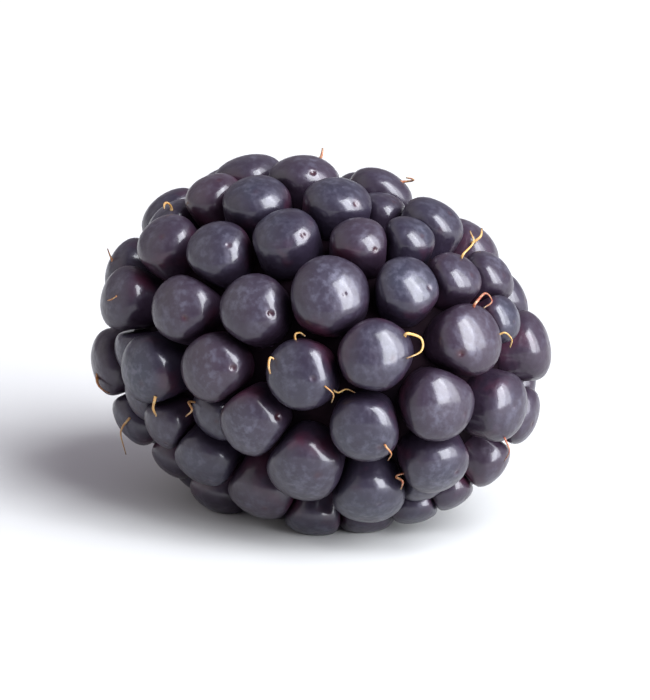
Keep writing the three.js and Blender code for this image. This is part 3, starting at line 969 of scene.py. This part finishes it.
def grown_style_path(which, local):
    """A withered style, curling away from the scar where it grew."""
    start = Vector(centres[which] + OVER_SKIN * style_way[which])
    hit = skin_tree.ray_cast(start, Vector(-style_way[which]))[0]
    place = np.array(hit) - GROWN_SINK * style_way[which]
    way = unit(style_way[which] + START_WANDER * local.normal(size=3))
    axis = unit(np.cross(way, local.normal(size=3)))
    curl = local.uniform(*CURLS)
    step = local.uniform(*STYLE_LENGTHS) / STYLE_STEPS
    path = [place]
    for _ in range(STYLE_STEPS - 1):
        way = unit(way + np.cross(axis, way) * curl * step)
        axis = unit(axis + CURL_WANDER * local.normal(size=3))
        place = place + way * step
        path.append(place)
    return np.array(path)


style_rng = np.random.default_rng(STYLE_SEED)
hairs = [(seen_style_path(corners), tone) for corners, tone in SEEN_STYLES]
for which in range(count):
    hidden = centres[which] @ TOWARDS < HIDDEN_LIMIT
    clear_of_floor = centres[which][2] - surface >= FLOOR_CLEARANCE
    chance = style_rng.uniform()
    if hidden and clear_of_floor and chance < STYLE_CHANCE:
        path = grown_style_path(which, style_rng)
        hairs.append((path, style_rng.uniform() ** RED_RARITY))
meshes = [hair_mesh(path, STYLE_RADIUS * style_rng.uniform(*THICKNESSES)) for path, _ in hairs]
hair_points, hair_faces = joined(meshes)
tones = np.array([tone for _, tone in hairs])
ends = np.repeat(np.linspace(0, 1, STYLE_STEPS) ** END_SHARPNESS, STYLE_SIDES)
styles = new_object("dried_styles", hair_points + shift, hair_faces, style_material())
point_values(styles, "style_tone", np.repeat(tones, STYLE_STEPS * STYLE_SIDES))
point_values(styles, "style_end", np.tile(ends, len(hairs)))
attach(styles, "root")

# ---- Floor and surroundings -----------------------------------------------------------------
floor_corners = FLOOR_HALF * np.array([(-1, -1, 0), (1, -1, 0), (1, 1, 0), (-1, 1, 0)])
floor = new_object("floor", floor_corners, [(0, 1, 2, 3)], floor_material())


def share_facing(nodes, way, low, high):
    """From 0 to 1, as the surroundings turn towards one direction."""
    place = nodes.add("ShaderNodeTexCoord")
    facing = nodes.add("ShaderNodeVectorMath")
    facing.operation = "DOT_PRODUCT"
    facing.inputs[1].default_value = way
    nodes.link(place.outputs["Generated"], facing.inputs[0])
    return nodes.remap(facing.outputs["Value"], low, high)


def soft_surroundings():
    """A plain soft room: pale on the left and on the right, and dim between and behind."""
    world = bpy.data.worlds.new("world")
    bpy.context.scene.world = world
    world.use_nodes = True
    nodes = Nodes(world.node_tree)
    left = share_facing(nodes, -RIGHT, low=0.2, high=0.75)
    right = share_facing(nodes, RIGHT, low=0.2, high=0.6)
    behind = share_facing(nodes, -TOWARDS, low=0.1, high=0.6)
    colour = nodes.mix(left, ROOM_MIDDLE, ROOM_LEFT)
    colour = nodes.mix(right, colour, ROOM_RIGHT)
    colour = nodes.mix(behind, colour, ROOM_BACK)
    nodes.link(colour, world.node_tree.nodes["Background"].inputs["Color"])


soft_surroundings()


# ---- Lights ---------------------------------------------------------------------------------
def pane_light(name, degrees_right, width, watts, colour):
    """A tall soft pane, turned to the right from the camera's own side of the berry."""
    turn = NEAR_AZIMUTH + math.radians(degrees_right)
    level = math.cos(PANE_RISE)
    way = Vector((math.sin(turn) * level, -math.cos(turn) * level, math.sin(PANE_RISE)))
    data = bpy.data.lights.new(name, "AREA")
    data.shape = "RECTANGLE"
    data.size = width
    data.size_y = PANE_HEIGHT
    data.energy = watts
    data.color = colour
    lamp = bpy.data.objects.new(name, data)
    bpy.context.scene.collection.objects.link(lamp)
    lamp.location = way * PANE_DISTANCE + Vector((0, 0, PANE_AIM_HEIGHT))
    lamp.rotation_mode = "QUATERNION"
    lamp.rotation_quaternion = way.to_track_quat("Z", "Y")
    lamp.visible_camera = False


pane_light("near_pane", NEAR_PANE_RIGHT, width=1.05, watts=132, colour=NEAR_LIGHT)
pane_light("far_pane", FAR_PANE_RIGHT, width=0.85, watts=58, colour=FAR_LIGHT)

# ---- Camera ---------------------------------------------------------------------------------
camera_data = bpy.data.cameras.new("camera")
camera_data.sensor_width = SENSOR_WIDTH
camera_data.lens = SENSOR_WIDTH * CAMERA_DISTANCE / (VIEW_WIDTH * IMAGE_HEIGHT / IMAGE_WIDTH)
camera_data.clip_start = CLIP_START
camera_data.clip_end = CLIP_END
camera = bpy.data.objects.new("camera", camera_data)
bpy.context.scene.collection.objects.link(camera)
right_offset = (IMAGE_WIDTH / 2 - BERRY_PIXEL[0]) / IMAGE_WIDTH * VIEW_WIDTH
up_offset = (BERRY_PIXEL[1] - IMAGE_HEIGHT / 2) / IMAGE_WIDTH * VIEW_WIDTH
aim = shift / MM_PER_M + RIGHT * right_offset + UP * up_offset
camera.location = Vector(aim + TOWARDS * CAMERA_DISTANCE)
camera.rotation_mode = "QUATERNION"
camera.rotation_quaternion = Vector(TOWARDS).to_track_quat("Z", "Y")
bpy.context.scene.camera = camera
bpy.context.scene.view_settings.view_transform = "Standard"
